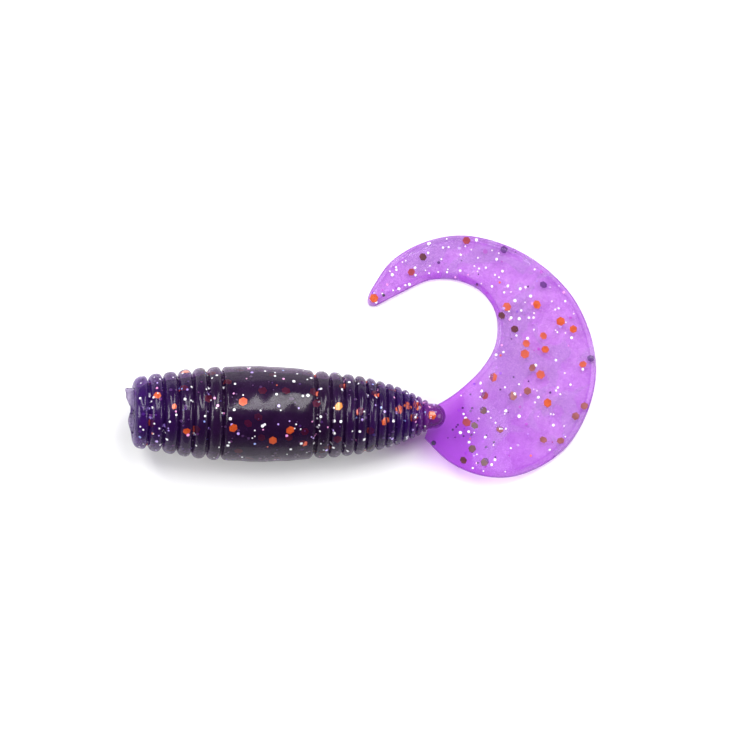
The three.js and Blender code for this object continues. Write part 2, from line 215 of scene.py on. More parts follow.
def tail_material():
    n = Nodes("tail_plastic")
    root = n.attribute("tone")
    rim = n.attribute("rim")
    bevel_shade = n.attribute("bevel_shade")
    # painted reflection: the veil is greyer, paler patches of tint and colour, away from the root
    patches = n.noise(0.21, 2.0, 0.45, 0.9)
    open_part = n.math("SUBTRACT", 1.0, root)
    painted_reflection = n.math("MULTIPLY", n.spread(patches, 0.0, 1.0, 0.485, 0.515), open_part)
    # painted glints: fine specks where the tint turns lighter, away from the root
    painted_glints = n.math("MULTIPLY", n.spread(n.noise(5.5, 2.0, 0.7), 0.0, 1.0, 0.56, 0.70), open_part)
    cloud = n.noise(0.5, 4.0, 0.6, 0.5)
    clear = n.ramp(cloud, 0.35, (0.900, 0.715, 0.955), 0.65, (0.940, 0.785, 0.980))
    tint = n.blend(painted_reflection, clear, (0.870, 0.715, 0.930))
    grain = n.ramp(n.noise(2.6, 4.0, 0.8), 0.38, (0.90, 0.85, 0.93), 0.62, (1.0, 1.0, 1.0))
    tint = n.blend(0.8, tint, grain, "MULTIPLY")
    tint = n.blend(n.math("MULTIPLY", painted_glints, 0.75), tint, (0.985, 0.930, 1.0))
    tint = n.blend(root, tint, (0.785, 0.408, 0.925))
    # painted shade: a darker tint at the bevel's foot line, the inner crook and the bevel
    tint = n.blend(bevel_shade, tint, (0.745, 0.435, 0.870))
    # painted shade: a dark outline along the blade's very edge
    tint = n.blend(rim, tint, (0.400, 0.170, 0.520))
    body = n.ramp(cloud, 0.3, (0.34, 0.080, 0.58), 0.7, (0.46, 0.16, 0.70))
    body = n.blend(n.math("MULTIPLY", painted_reflection, 0.7), body, (0.46, 0.28, 0.62))
    ripple = n.noise(0.55, 3.0, 0.5)
    fine = n.math("MULTIPLY", n.noise(9.0, 2.0, 0.6), 0.05)
    height = n.math("ADD", n.math("MULTIPLY", ripple, 0.9), fine)
    solid = n.principled({
        "Base Color": body,
        "Roughness": n.spread(cloud, 0.10, 0.24),
        "IOR": 1.5,
        "Specular IOR Level": 0.5,
        "Coat Weight": 0.3,
        "Coat Roughness": 0.06,
        "Normal": n.bump(height, 0.00012, 0.6),
    })
    # the veil's painted reflection and the rim's painted shade also take more of the solid shader
    share = n.math("ADD", n.math("MULTIPLY", rim, 0.25),
                   n.math("ADD", n.math("MULTIPLY", painted_reflection, 0.07), 0.13))
    # the upper surface carries the whole thickness's colour, and the lower is clear
    under = n.attribute("under")
    through = n.blend(1.0, tint, tint, "MULTIPLY")
    through = n.blend(1.0, through, (0.945, 0.945, 0.945), "MULTIPLY")
    tint = n.blend(under, through, (1.0, 1.0, 1.0))
    share = n.math("MULTIPLY", share, n.spread(under, 1.5, 0.25, 0.0, 1.0))
    return n.clear_mix(tint, solid, share)


def flash_material():
    n = Nodes("gate_flash_skin")
    cloud = n.noise(1.6, 4.0, 0.6, 0.6)
    torn = n.attribute("rim")
    colour = n.ramp(cloud, 0.3, (0.24, 0.18, 0.34), 0.7, (0.54, 0.48, 0.64))
    colour = n.blend(torn, colour, (0.10, 0.05, 0.17))
    solid = n.principled({
        "Base Color": colour,
        "Roughness": n.spread(n.noise(4.0), 0.15, 0.35),
        "Coat Weight": 0.3,
        "Coat Roughness": 0.1,
        "Normal": n.bump(n.noise(5.0, 3.0), 0.00004, 0.7),
    })
    return n.clear_mix((0.86, 0.80, 0.92), solid, 0.50)


def foil_material(name, low, high, metallic=0.25, roughness=0.32, gloss=0.6):
    n = Nodes(name)
    colour = n.ramp(n.noise(1.3, 3.0, 0.6), 0.35, low, 0.65, high)
    return n.surface(n.principled({
        "Base Color": colour,
        "Metallic": metallic,
        "Roughness": n.spread(n.noise(5.0, 2.0), roughness - 0.06, roughness + 0.1),
        "Coat Weight": gloss,
        "Coat Roughness": 0.12,
        "Normal": n.bump(n.noise(8.0, 2.0), 0.00001, 0.5),
    }))


# colours from and to, then how metallic, rough and glossy
FOIL_LOOKS = {
    "orange": ((0.48, 0.050, 0.010), (0.60, 0.095, 0.020)),
    "gold": ((0.58, 0.17, 0.02), (0.66, 0.28, 0.06)),
    "coral": ((0.62, 0.080, 0.040), (0.72, 0.16, 0.09)),
    "rust": ((0.44, 0.052, 0.024), (0.55, 0.090, 0.042), 0.15, 0.4, 0.3),
    "ruby": ((0.24, 0.012, 0.030), (0.33, 0.026, 0.050), 0.1, 0.4, 0.3),
    "red": ((0.66, 0.050, 0.020), (0.80, 0.10, 0.04)),
    "crimson": ((0.55, 0.020, 0.040), (0.66, 0.040, 0.06)),
    "dull": ((0.34, 0.035, 0.020), (0.46, 0.07, 0.04), 0.1, 0.45, 0.2),
    "brown": ((0.20, 0.042, 0.050), (0.29, 0.075, 0.080), 0.1, 0.45, 0.2),
    "maroon": ((0.055, 0.003, 0.014), (0.105, 0.008, 0.028), 0.1, 0.4, 0.3),
    "smoke": ((0.05, 0.04, 0.09), (0.10, 0.09, 0.14), 0.1, 0.4, 0.3),
    "silver": ((0.80, 0.78, 0.86), (0.95, 0.93, 0.98), 0.1, 0.3),
    "lilac": ((0.42, 0.26, 0.82), (0.60, 0.40, 0.92), 0.1, 0.3),
    "pink": ((0.80, 0.25, 0.62), (0.92, 0.42, 0.80), 0.1, 0.3),
    "blue": ((0.20, 0.26, 0.75), (0.36, 0.45, 0.90), 0.1, 0.3),
    "speck": ((0.012, 0.008, 0.03), (0.03, 0.02, 0.06), 0.1, 0.4, 0.2),
}
FOILS = {kind: foil_material("foil_" + kind, *look) for kind, look in FOIL_LOOKS.items()}
SKIN = body_skin_material()
CORE = body_core_material()
BLADE = tail_material()
FLASH = flash_material()

# ------------------------------------------------------------ meshes


def make_mesh(name, points, faces, materials, normals=None, fields=None, face_materials=None):
    """A smooth mesh object in metres from points in millimetres. It keeps the points as its
    rest attribute, and its shading normals are the given ones, one for each point."""
    points = np.asarray(points, float)
    mesh = bpy.data.meshes.new(name)
    mesh.from_pydata((points * MM).tolist(), [], [list(face) for face in faces])
    for material in materials:
        mesh.materials.append(material)
    if face_materials is not None:
        mesh.polygons.foreach_set("material_index", face_materials)
    mesh.polygons.foreach_set("use_smooth", [True] * len(mesh.polygons))
    rest = mesh.attributes.new("rest", "FLOAT_VECTOR", "POINT")
    rest.data.foreach_set("vector", points.astype(np.float32).ravel())
    for key, values in (fields or {}).items():
        field = mesh.attributes.new(key, "FLOAT", "POINT")
        field.data.foreach_set("value", np.asarray(values, np.float32).ravel())
    if normals is not None:
        mesh.normals_split_custom_set_from_vertices(np.asarray(normals, float).tolist())
    mesh.update()
    made = bpy.data.objects.new(name, mesh)
    bpy.context.scene.collection.objects.link(made)
    return made


def grid_faces(rows, columns, flip=False):
    """Quads between rows of points that each close on themselves."""
    faces = []
    for i in range(rows - 1):
        for j in range(columns):
            k = (j + 1) % columns
            a, b = i * columns, (i + 1) * columns
            face = (a + j, a + k, b + k, b + j)
            faces.append(face[::-1] if flip else face)
    return faces


def grid_normals(grid, flip=False):
    """Smooth unit normals of a grid of closed rows, from the slopes along and across it."""
    across = np.roll(grid, -1, 1) - np.roll(grid, 1, 1)
    along = np.gradient(grid, axis=0)
    normal = np.cross(across, along)
    length = np.linalg.norm(normal, axis=2, keepdims=True)
    normal = normal / np.maximum(length, 1e-9)
    return -normal if flip else normal


# ------------------------------------------------------------ the body's surface

SKIN_COLUMNS, CORE_COLUMNS = 108, 64
RING_STEPS, RING_FULLNESS = 20, 2.3
BAND_STEPS, SHOULDER_STEPS, STUB_STEPS = 27, 8, 12
SEAM_HEIGHT, SEAM_WIDTH = 0.035, 0.09
CORE_START, CORE_END = 0.45, 1.5


def crest_line(count, near, far, bulge):
    """Crest radius by ring, counted away from the band: near at 0, and far at the last."""
    return lambda i: far + (near - far) * (1 - (i / (count - 1)) ** bulge)


front_crest = crest_line(FRONT_RINGS, 4.94, 3.84, 1.25)
rear_crest = crest_line(REAR_RINGS + 1, 4.6, 1.66, 1.4)
sections = [("ring_%02d" % (i + 1), FRONT_PITCH, front_crest(FRONT_RINGS - 1 - i))
            for i in range(FRONT_RINGS)]
BAND = len(sections)
sections.append(("smooth_band", BAND_LENGTH, BAND_FRONT_RADIUS))
for i in range(REAR_RINGS + 1):
    name = "ring_%02d" % (FRONT_RINGS + 1 + i) if i < REAR_RINGS else "tail_root"
    sections.append((name, REAR_FIRST_PITCH * REAR_PITCH_STEP ** i, rear_crest(i)))
starts = np.concatenate([[0.0], np.cumsum([s[1] for s in sections])])
ROOT_START = starts[len(sections) - 1]

grooves = []
for i in range(len(sections) - 1):
    beside = [s for s in sections[i:i + 2] if s[0] != "smooth_band"]
    pitch = min(s[1] for s in beside)
    crest = min(s[2] for s in beside)
    grooves.append({
        "at": starts[i + 1],
        "gap": GROOVE_GAP * pitch,
        "pitch": pitch,
        "floor": crest - GROOVE_DEPTH * GROOVE_FILLED * pitch,
    })


def band_radius(share):
    """The smooth band's radius at a share of its length."""
    if share < BAND_FULLEST:
        off = (BAND_FULLEST - share) / BAND_FULLEST
        return BAND_RADIUS - (BAND_RADIUS - BAND_FRONT_RADIUS) * off ** 2
    off = (share - BAND_FULLEST) / (1 - BAND_FULLEST)
    return BAND_RADIUS - (BAND_RADIUS - BAND_REAR_RADIUS) * off ** 2


def swelling(share):
    """A ring's round profile across its length: 0 at its ends and 1 at its crest."""
    return max(0.0, 1 - abs(2 * share - 1) ** RING_FULLNESS) ** (1 / RING_FULLNESS)


def band_shoulder(start, edge, way):
    """Points from a groove's floor at edge round the band's shoulder. Way is 1 or -1."""
    full = band_radius(0.03 if way > 0 else 0.97)
    points = []
    for k in range(1, SHOULDER_STEPS + 1):
        turn = math.pi / 2 * k / SHOULDER_STEPS
        x = edge[0] + way * BAND_SHOULDER * 0.75 * (1 - math.cos(turn))
        inset = (full - edge[1]) * (1 - math.sin(turn))
        points.append((x, band_radius((x - start) / BAND_LENGTH) - inset))
    return points


def body_profile():
    """Points [along, radius] of the whole skin, and the row at the middle of each section."""
    points, middles = [], []
    for i, (name, length, crest) in enumerate(sections):
        start, end = starts[i], starts[i] + length
        first, last = (start, NOSE_FACE_RADIUS), (end, STUB_RADIUS)
        if i:
            first = (start + grooves[i - 1]["gap"], grooves[i - 1]["floor"])
        if i < len(grooves):
            last = (end - grooves[i]["gap"], grooves[i]["floor"])
        if name == "smooth_band":
            points += [first] + band_shoulder(start, first, 1)
            middles.append(len(points) + BAND_STEPS // 2)
            points += [(start + share * length, band_radius(share))
                       for share in np.linspace(0.08, 0.92, BAND_STEPS)]
            points += band_shoulder(start, last, -1)[::-1] + [last]
            continue
        middles.append(len(points) + RING_STEPS // 2)
        height = crest - (first[1] + last[1]) / 2
        for k in range(RING_STEPS + 1):
            share = (1 - math.cos(math.pi * k / RING_STEPS)) / 2
            x, base = (a + (b - a) * share for a, b in zip(first, last))
            points.append((x, base + height * swelling(share)))
    end = starts[-1] + STUB_LENGTH
    for turn in np.linspace(0.12, 1.5, STUB_STEPS):
        x = end - STUB_RADIUS * (1 - math.sin(turn))
        points.append((max(x, starts[-1] + 0.05), STUB_RADIUS * math.cos(turn)))
    return np.array(points), middles


profile, middles = body_profile()

# degrees round the body from the top, closer together at the parting line
angles = set(np.round(np.linspace(0, 360, SKIN_COLUMNS, endpoint=False), 4))
for middle in (90.0, 270.0):
    angles |= {middle + off for off in (-2.0, -0.9, 0.0, 0.9, 2.0)}
ANGLES = np.radians(sorted(angles))


def ripple(along, turn):
    """Slight unevenness of the soft moulding, in millimetres."""
    return (0.016 * np.sin(1.7 * along + 2 * turn + 0.6)
            + 0.012 * np.sin(3.1 * along - 3 * turn + 2.0)
            + 0.008 * np.sin(0.9 * along + 7 * turn))


def seam(radius, turn):
    """The mould's parting line, a fine ridge down each side."""
    off = np.minimum(np.abs(turn - math.pi / 2), np.abs(turn - 3 * math.pi / 2)) * radius
    return SEAM_HEIGHT * np.exp(-(off / SEAM_WIDTH) ** 2)


def body_point(along, radius, turn):
    """Points at a distance along the axis, a radius and an angle from the top."""
    along, radius, turn = np.broadcast_arrays(along, radius, turn)
    radial = np.cos(turn)[..., None] * UP + np.sin(turn)[..., None] * SIDE
    return NOSE + along[..., None] * AXIS + radius[..., None] * radial


def skin_radius(along, turn):
    base = np.interp(along, *profile.T)
    return base + ripple(along, turn) * np.minimum(1.0, base / 3.0)


rows_along = profile[:, 0][:, None]
rows_radius = profile[:, 1][:, None]
turns = ANGLES[None, :]
uneven = ripple(rows_along, turns) * np.minimum(1.0, rows_radius / 3.0) * (rows_along > 0.02)
skin_grid = body_point(rows_along, rows_radius + uneven + seam(rows_radius, turns), turns)
skin_normals = grid_normals(skin_grid, True)


def tone_at(along):
    """How vivid the violet is: most at the thin nose rings and towards the tail."""
    return np.interp(along, [0.0, 2.2, 5.0, 9.0, 20.0, 27.0, 30.0, 31.5, 33.0],
                     [0.80, 0.60, 0.28, 0.05, 0.03, 0.45, 0.86, 0.96, 1.0])


def core_radius(along):
    spots = [(CORE_START, 2.6)]
    for i, groove in enumerate(grooves):
        inset = 0.14 if groove["pitch"] > 1.0 else 0.09
        if i == BAND:
            for share in (0.08, 0.25, 0.5, 0.75, 0.92):
                spots.append((starts[BAND] + share * BAND_LENGTH, band_radius(share) - 0.55))
        spots.append((groove["at"], groove["floor"] - inset))
    spots += [(starts[-1] + past, radius) for past, radius in
              ((0.0, 1.12), (0.9, 0.95), (CORE_END, 0.5))]
    return np.interp(along, *np.array(spots).T)


BODY_BODIES = [s[0] for s in sections]


def across_groove(piece, i):
    """Bake a piece's placement into its mesh."""
    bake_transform(piece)


def strip(name, grid, normals, marks, i, tone, material):
    """A grid's rows from mark i to the next as an open sleeve, which spans groove i."""
    taken, columns = slice(marks[i], marks[i + 1] + 1), grid.shape[1]
    piece = make_mesh("%s_%02d" % (name, i + 1), grid[taken].reshape(-1, 3),
                      grid_faces(marks[i + 1] - marks[i] + 1, columns, True), [material],
                      normals[taken].reshape(-1, 3), {"tone": np.repeat(tone[taken], columns)})
    across_groove(piece, i)
    return piece


skin_tone = tone_at(profile[:, 0])
for i in range(len(grooves)):
    piece = strip("skin", skin_grid, skin_normals, middles, i, skin_tone, SKIN)
    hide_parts(BODY_BODIES[i + 1])

# the core, seen dimly through the skin
core_along, core_marks = [], []
for i, (name, length, crest) in enumerate(sections):
    low = starts[i] if i else CORE_START
    spans = 40 if name == "smooth_band" else 6
    core_marks.append(len(core_along) + spans // 2)
    core_along += [low + (starts[i] + length - low) * k / spans for k in range(spans)]
core_along = np.array(core_along + list(starts[-1] + np.linspace(0.0, CORE_END, 7)))
core_turns = np.radians(np.linspace(0, 360, CORE_COLUMNS, endpoint=False))[None, :]
core_grid = body_point(core_along[:, None], core_radius(core_along)[:, None], core_turns)
core_normals = grid_normals(core_grid, True)
core_tone = tone_at(core_along)
for i in range(len(grooves)):
    strip("core", core_grid, core_normals, core_marks, i, core_tone, CORE)


def capped(name, grid, normals, first, last, tone, material, cap_rows, at_front):
    """A sleeve closed at one end by rings [share of its edge, lift] that shrink to the axis."""
    columns = grid.shape[1]
    part, shading = grid[first:last + 1], normals[first:last + 1]
    edge = part[0] if at_front else part[-1]
    centre = edge.mean(0)
    outward = -AXIS if at_front else AXIS
    spokes = np.linspace(0, 2 * math.pi, columns, endpoint=False)
    rings = []
    for share, lift in cap_rows:
        torn = np.zeros(columns)
        if at_front:
            torn = 0.035 * np.sin(5 * spokes + 9 * share) + 0.025 * np.sin(9 * spokes - 14 * share)
            torn = torn * share * (1 - share) * 4
        rings.append(centre + (edge - centre) * share + outward * (lift + torn)[:, None])
    rings = np.array(rings)
    flat = np.zeros(rings.shape) + outward
    if at_front:
        points, shade = np.concatenate([rings[::-1], part]), np.concatenate([flat, shading])
    else:
        points, shade = np.concatenate([part, rings]), np.concatenate([shading, flat])
    faces = grid_faces(len(points), columns, True)
    hub, hub_row = points.shape[0] * columns, 0 if at_front else len(points) - 1
    for j in range(columns):
        pair = (hub_row * columns + j, hub_row * columns + (j + 1) % columns)
        faces.append((hub, *(pair if at_front else pair[::-1])))
    points = np.vstack([points.reshape(-1, 3), centre + outward * cap_rows[-1][1]])
    shade = np.vstack([shade.reshape(-1, 3), outward])
    return make_mesh(name, points, faces, [material], shade, {"tone": np.full(len(points), tone)})


# the cut nose face has a slight lip at its edge and is a little hollow
nose_rows = [(0.99, 0.03), (0.965, 0.045), (0.93, 0.0), (0.86, -0.05), (0.7, -0.06),
             (0.6, -0.09), (0.5, -0.10), (0.4, -0.09), (0.3, -0.06), (0.2, -0.08), (0.12, -0.10)]
nose = capped("nose_skin", skin_grid, skin_normals, 0, middles[0], 0.80, SKIN, nose_rows, True)
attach(nose, "ring_01")
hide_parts("ring_01")
nose_core = capped("nose_core", core_grid, core_normals, 0, core_marks[0], 0.80, CORE,
                   [(0.8, 0.02), (0.5, 0.03), (0.2, 0.03)], True)
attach(nose_core, "ring_01")

stub = capped("stub_skin", skin_grid, skin_normals, middles[-1], len(profile) - 1, 1.0, SKIN,
              [(0.5, 0.003), (0.2, 0.004)], False)
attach(stub, "tail_root")
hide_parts("tail_root")
stub_core = capped("stub_core", core_grid, core_normals, core_marks[-1], len(core_along) - 1,
                   1.0, CORE, [(0.6, 0.05), (0.2, 0.06)], False)
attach(stub_core, "tail_root")

# ------------------------------------------------------------ the tail's surface

EXTENDED = np.vstack([2 * TAIL_LINES[0] - TAIL_LINES[1], TAIL_LINES,
                      2 * TAIL_LINES[-1] - TAIL_LINES[-2]])
LAST = len(TAIL_LINES) - 1


def edge_point(place, column):
    """A point on the tail's inner (column 0) or outer (column 2) edge: a chordal spline."""
    i = min(int(place), LAST - 1)
    w = place - i
    a, b, c, d = EXTENDED[i:i + 4, column:column + 2]
    ab, bc, cd = (np.linalg.norm(step) for step in (b - a, c - b, d - c))
    t0 = ((b - a) / ab - (c - a) / (ab + bc) + (c - b) / bc) * bc
    t1 = ((c - b) / bc - (d - b) / (bc + cd) + (d - c) / cd) * bc
    return ((2 * b - 2 * c + t0 + t1) * w ** 3 + (-3 * b + 3 * c - 2 * t0 - t1) * w * w
            + t0 * w + b)


@functools.lru_cache(maxsize=None)
def tail_line(place):
    """The line across the tail at a place: its inner end, direction, length and middle."""
    inner, outer = edge_point(place, 0), edge_point(place, 2)
    width = np.linalg.norm(outer - inner)
    return inner, (outer - inner) / width, width, (inner + outer) / 2


def smoother_step(x):
    x = max(0.0, min(1.0, x))
    return x * x * x * (x * (x * 6 - 15) + 10)


def smooth_step(x):
    x = np.clip(x, 0.0, 1.0)
    return x * x * (3 - 2 * x)


def distance_from_web(place):
    """Length of the tail's middle line from place 1, where the first fold is."""
    distance, at = 0.0, 1.0
    while at < place - 1e-9:
        further = min(at + 0.25, place)
        distance += np.linalg.norm(tail_line(further)[3] - tail_line(at)[3])
        at = further
    return distance


ROOT_HEIGHT = NOSE[2] - math.sin(PITCH) * ROOT_START


def blade_thickness(place):
    return BLADE_THICKNESS + (TIP_THICKNESS - BLADE_THICKNESS) * place / LAST


def blade_height(place):
    """Height of the blade's middle, which comes down from the axis to the floor."""
    axis = ROOT_HEIGHT - tail_line(place)[3][0] * math.tan(PITCH)
    landed = smoother_step(distance_from_web(place) / DROOP_LENGTH)
    return axis + (blade_thickness(place) / 2 - axis) * landed


RIM_OFFSETS = [0.0, 0.035, 0.09, 0.16, 0.26, 0.38, 0.50, 0.60, 0.68, 0.78, 0.95, 1.25]
INTERIOR = 15
WEB_END, TIP_START, TIP_ROUND = 0.5, 9.5, 0.24
PLACE_STEP, LEAST_STEP = 0.1, 0.006
WIDEST_BEND = 1.6


def wave(x, y):
    """The blade isn't quite flat: it stands off the surface by this much."""
    return (0.030 * (1 + np.sin(0.62 * x + 0.35 * y + 1.0))
            + 0.018 * (1 + np.sin(-0.45 * x + 0.83 * y)))


def uneven_top(x, y):
    return (0.020 * np.sin(0.95 * x - 0.7 * y + 0.5) + 0.014 * np.sin(1.7 * x + 1.3 * y)
            + 0.018 * np.sin(0.5 * x + 1.1 * y + 2.2))


def tail_row(place):
    """One closed loop of points round the blade, with its rim and bevel masks of painted shade."""
    inner, across, width, middle = tail_line(place)
    squeeze = min(1.0, width / 3.2)
    near = np.array(RIM_OFFSETS) * squeeze
    between = np.linspace(near[-1], width - near[-1], INTERIOR + 2)[1:-1]
    offsets = np.concatenate([near, between, width - near[::-1]])
    edge = np.minimum(offsets, width - offsets)
    half_edge, half_full = EDGE_THICKNESS / 2, blade_thickness(place) / 2
    bevel = smooth_step(edge / (0.65 * squeeze))
    half = half_edge + (half_full - half_edge) * bevel
    half = half * np.sqrt(np.clip(edge / 0.06 * 0.85 + 0.15, 0, 1))
    rounding = max(0.0, (place - (LAST - TIP_ROUND)) / TIP_ROUND)
    shrink = math.sqrt(max(0.0, 1 - (rounding * 0.985) ** 2))
    half = half * (0.35 + 0.65 * shrink)
    spots = inner + across * offsets[:, None]
    spots = middle + (spots - middle) * shrink
    flat = spots + TAIL_ORIGIN
    centre = blade_height(place) + wave(*spots.T) * smooth_step(edge / 1.2)
    top = centre + half + uneven_top(*spots.T) * smooth_step(edge / 0.9)
    bottom = centre - half
    loop = np.concatenate([np.column_stack([flat, top]),
                           np.column_stack([flat, bottom])[::-1]])
    # painted shade: rim darkens the tint at the very edge of the blade
    rim = np.exp(-(edge / 0.11) ** 2)
    # painted shade: the foot, crook and bevel masks darken the bevel's foot line, the inner crook
    # and the bevel
    foot = 0.55 * np.exp(-((edge / squeeze - 0.70) / 0.10) ** 2)
    inward = smooth_step((place - 4.2) / 0.6) * smooth_step((8.6 - place) / 0.8)
    crook = 0.75 * inward * (1 - smooth_step((offsets - 0.75) / 0.25))
    bevelled = 0.30 * (1 - bevel)
    bevel_shade = np.clip(np.maximum(np.maximum(foot, crook), bevelled), 0, 1)
    return loop, np.concatenate([rim, rim[::-1]]), np.concatenate([bevel_shade, bevel_shade[::-1]])


# the places where one strip ends and the next begins, then all rows, close at each fold
ends = [WEB_END] + [(a + b) / 2 for a, b in zip(FOLD_LINES, FOLD_LINES[1:])] + [TIP_START]
cuts = set(ends) | {0.0, float(LAST)}
near_fold = [0.0, 0.012, 0.024, 0.037, 0.052, 0.07, 0.095, 0.13, 0.18, 0.24, 0.31, 0.40]
places = set(np.round(np.arange(0, LAST + 0.001, PLACE_STEP), 4)) | cuts
for fold in FOLD_LINES:
    for off in near_fold:
        places |= {round(fold - off, 4), round(fold + off, 4)}
places |= set(np.round(LAST - TIP_ROUND + TIP_ROUND * np.sin(np.linspace(0, math.pi / 2, 9)), 4))
kept = []
for place in sorted(p for p in places if 0 <= p <= LAST):
    if not kept or place - kept[-1] > LEAST_STEP or place in cuts:
        kept.append(place)
places = np.array(kept)
tail_loops, rims, bevel_shades = zip(*(tail_row(place) for place in places))
tail_grid = np.array(tail_loops)
tail_rows, tail_columns = tail_grid.shape[:2]
root_tone = 1 - smooth_step((places - 1.2) / 3.0)
tail_fields = {
    "rim": np.array(rims),
    "bevel_shade": np.array(bevel_shades),
    "tone": np.repeat(root_tone[:, None], tail_columns, 1),
    "under": np.tile(np.arange(tail_columns) >= tail_columns // 2, (tail_rows, 1)),
}
tail_normals = grid_normals(tail_grid)
TAIL_BODIES = ["tail_root"] + ["tail_blade_%02d" % i for i in range(1, 8)] + ["tail_tip"]


def nearest_row(place):
    return int(np.argmin(np.abs(places - place)))


def fold_reach(fold, low, high):
    """A fold's direction, middle and half width, which is what the strip's ends allow."""
    inner, across, width, middle = tail_line(fold)
    ahead = np.array([-across[1], across[0]])
    reach = WIDEST_BEND
    for end in (low, high):
        for column in (0, 2):
            off = edge_point(end, column) - inner
            reach = min(reach, 0.95 * abs(float(np.dot(off, ahead))))
    return ahead, middle, reach


def across_fold(piece, i):
    """Work out fold i's reach and centre, then bake a piece's placement into its mesh."""
    low, high = ends[i], ends[i + 1]
    ahead, middle, reach = fold_reach(FOLD_LINES[i], low, high)
    centre = np.array([*(middle + TAIL_ORIGIN), blade_height(FOLD_LINES[i])])
    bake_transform(piece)


def end_cap(row, flip):
    """Quads that close a blade's end between its top and bottom."""
    start, faces = row * tail_columns, []
    for j in range(tail_columns // 2 - 1):
        back = start + tail_columns - 1 - j
        face = (start + j, start + j + 1, back - 1, back)
        faces.append(face[::-1] if flip else face)
    return faces


def tail_piece(name, low, high, cap=None):
    first, last = nearest_row(low), nearest_row(high)
    taken = slice(first, last + 1)
    faces = grid_faces(last - first + 1, tail_columns)
    if cap:
        faces += end_cap(0 if cap == "start" else last - first, cap == "start")
    return make_mesh(name, tail_grid[taken].reshape(-1, 3), faces, [BLADE],
                     tail_normals[taken].reshape(-1, 3),
                     {key: value[taken] for key, value in tail_fields.items()})


web = tail_piece("web_skin", 0.0, ends[0], "start")
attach(web, "tail_root")
for i, fold in enumerate(FOLD_LINES):
    piece = tail_piece("blade_skin_%02d" % (i + 1), ends[i], ends[i + 1])
    across_fold(piece, i)
    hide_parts(TAIL_BODIES[i + 1])
tip = tail_piece("tip_skin", ends[-1], float(LAST), "end")
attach(tip, "tail_tip")
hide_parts("tail_tip")

# ------------------------------------------------------------ the glitter


def hexagon(across, rings):
    """Points, triangles and edge of a flat hexagon, as a centre and rings round it."""
    corner = across / math.sqrt(3)
    points, faces = [(0.0, 0.0)], []
    for ring in range(1, rings + 1):
        radius = corner * ring / rings
        for side in range(6):
            a, b = side * math.pi / 3, (side + 1) * math.pi / 3
            for k in range(ring):
                w = k / ring
                points.append((radius * (math.cos(a) * (1 - w) + math.cos(b) * w),
                               radius * (math.sin(a) * (1 - w) + math.sin(b) * w)))
    for ring in range(1, rings + 1):
        outer, inner = 1 + 3 * ring * (ring - 1), 1 + 3 * (ring - 1) * (ring - 2)
        for side in range(6):
            for k in range(ring):
                o0 = outer + side * ring + k
                o1 = outer + (side * ring + k + 1) % (6 * ring)
                if ring == 1:
                    faces.append((o0, o1, 0))
                    continue
                m = 6 * (ring - 1)
                i0 = inner + (side * (ring - 1) + k) % m
                faces.append((o0, o1, i0))
                if k:
                    before = inner + (side * (ring - 1) + k - 1) % m
                    faces.append((o0, i0, before))
    edge = list(range(len(points) - 6 * rings, len(points)))
    return np.array(points), faces, edge


DOT_ACROSS = 0.33
HEX_BIG = hexagon(FLAKE_ACROSS, 2)
HEX_DOT = hexagon(DOT_ACROSS, 1)
PLATE = 0.03  # thickness of a flake
PROUD = 0.012  # how far a flake at the surface stands off it
RIM_MARGIN = 0.22  # least distance from a flake to the tail's edge
TAIL_FLAKE_SCALE = 0.86
SIDE_FLAKES, BODY_DOTS, TAIL_DOTS, ROOT_SPECKS = 62, 860, 430, 24


class Glitter:
    """Flakes gathered into one mesh."""

    def __init__(self, name):
        self.name, self.count, self.used = name, 0, []
        self.points, self.normals, self.faces, self.kinds = [], [], [], []

    def add(self, top, normals, faces, edge, kind):
        if kind not in self.used:
            self.used.append(kind)
        index = self.used.index(kind)
        base, n = self.count, len(top)
        self.points += [top, top - normals * PLATE]
        self.normals += [normals, -normals]
        made = [tuple(base + v for v in face) for face in faces]
        made += [tuple(base + n + v for v in face[::-1]) for face in faces]
        for j in range(len(edge)):
            a, b = edge[j], edge[(j + 1) % len(edge)]
            made.append((base + b, base + a, base + n + a, base + n + b))
        self.faces += made
        self.kinds += [index] * len(made)
        self.count += 2 * n

    def build(self):
        made = make_mesh(self.name, np.concatenate(self.points), self.faces,
                         [FOILS[kind] for kind in self.used], np.concatenate(self.normals),
                         face_materials=self.kinds)
        return made


# by part: where its strips begin and end, the bodies that they join, and what places them
STRIPS = {
    "body": (profile[middles, 0], BODY_BODIES, across_groove),
    "tail": (ends, TAIL_BODIES, across_fold),
}
glitter = {}


def add_flake(part, at, *flake):
    """Add a flake to the mesh of its strip: -1 is before the first strip, which is 0."""
    home = part, int(np.searchsorted(STRIPS[part][0], at)) - 1
    if home not in glitter:
        glitter[home] = Glitter("%s_glitter_%02d" % (part, home[1] + 1))
    glitter[home].add(*flake)
    return home


def turned_shape(big, scale, least_lean):
    """A flake's points at a random turn and lean, with its triangles and edge."""
    shape, faces, edge = HEX_BIG if big else HEX_DOT
    x, y = (shape * scale).T
    spin = rng.uniform(0, math.pi)
    lean = rng.uniform(least_lean, 1.0) if big else 1.0
    c, s = math.cos(spin), math.sin(spin)
    return x * c - y * s * lean, x * s + y * c * lean, faces, edge


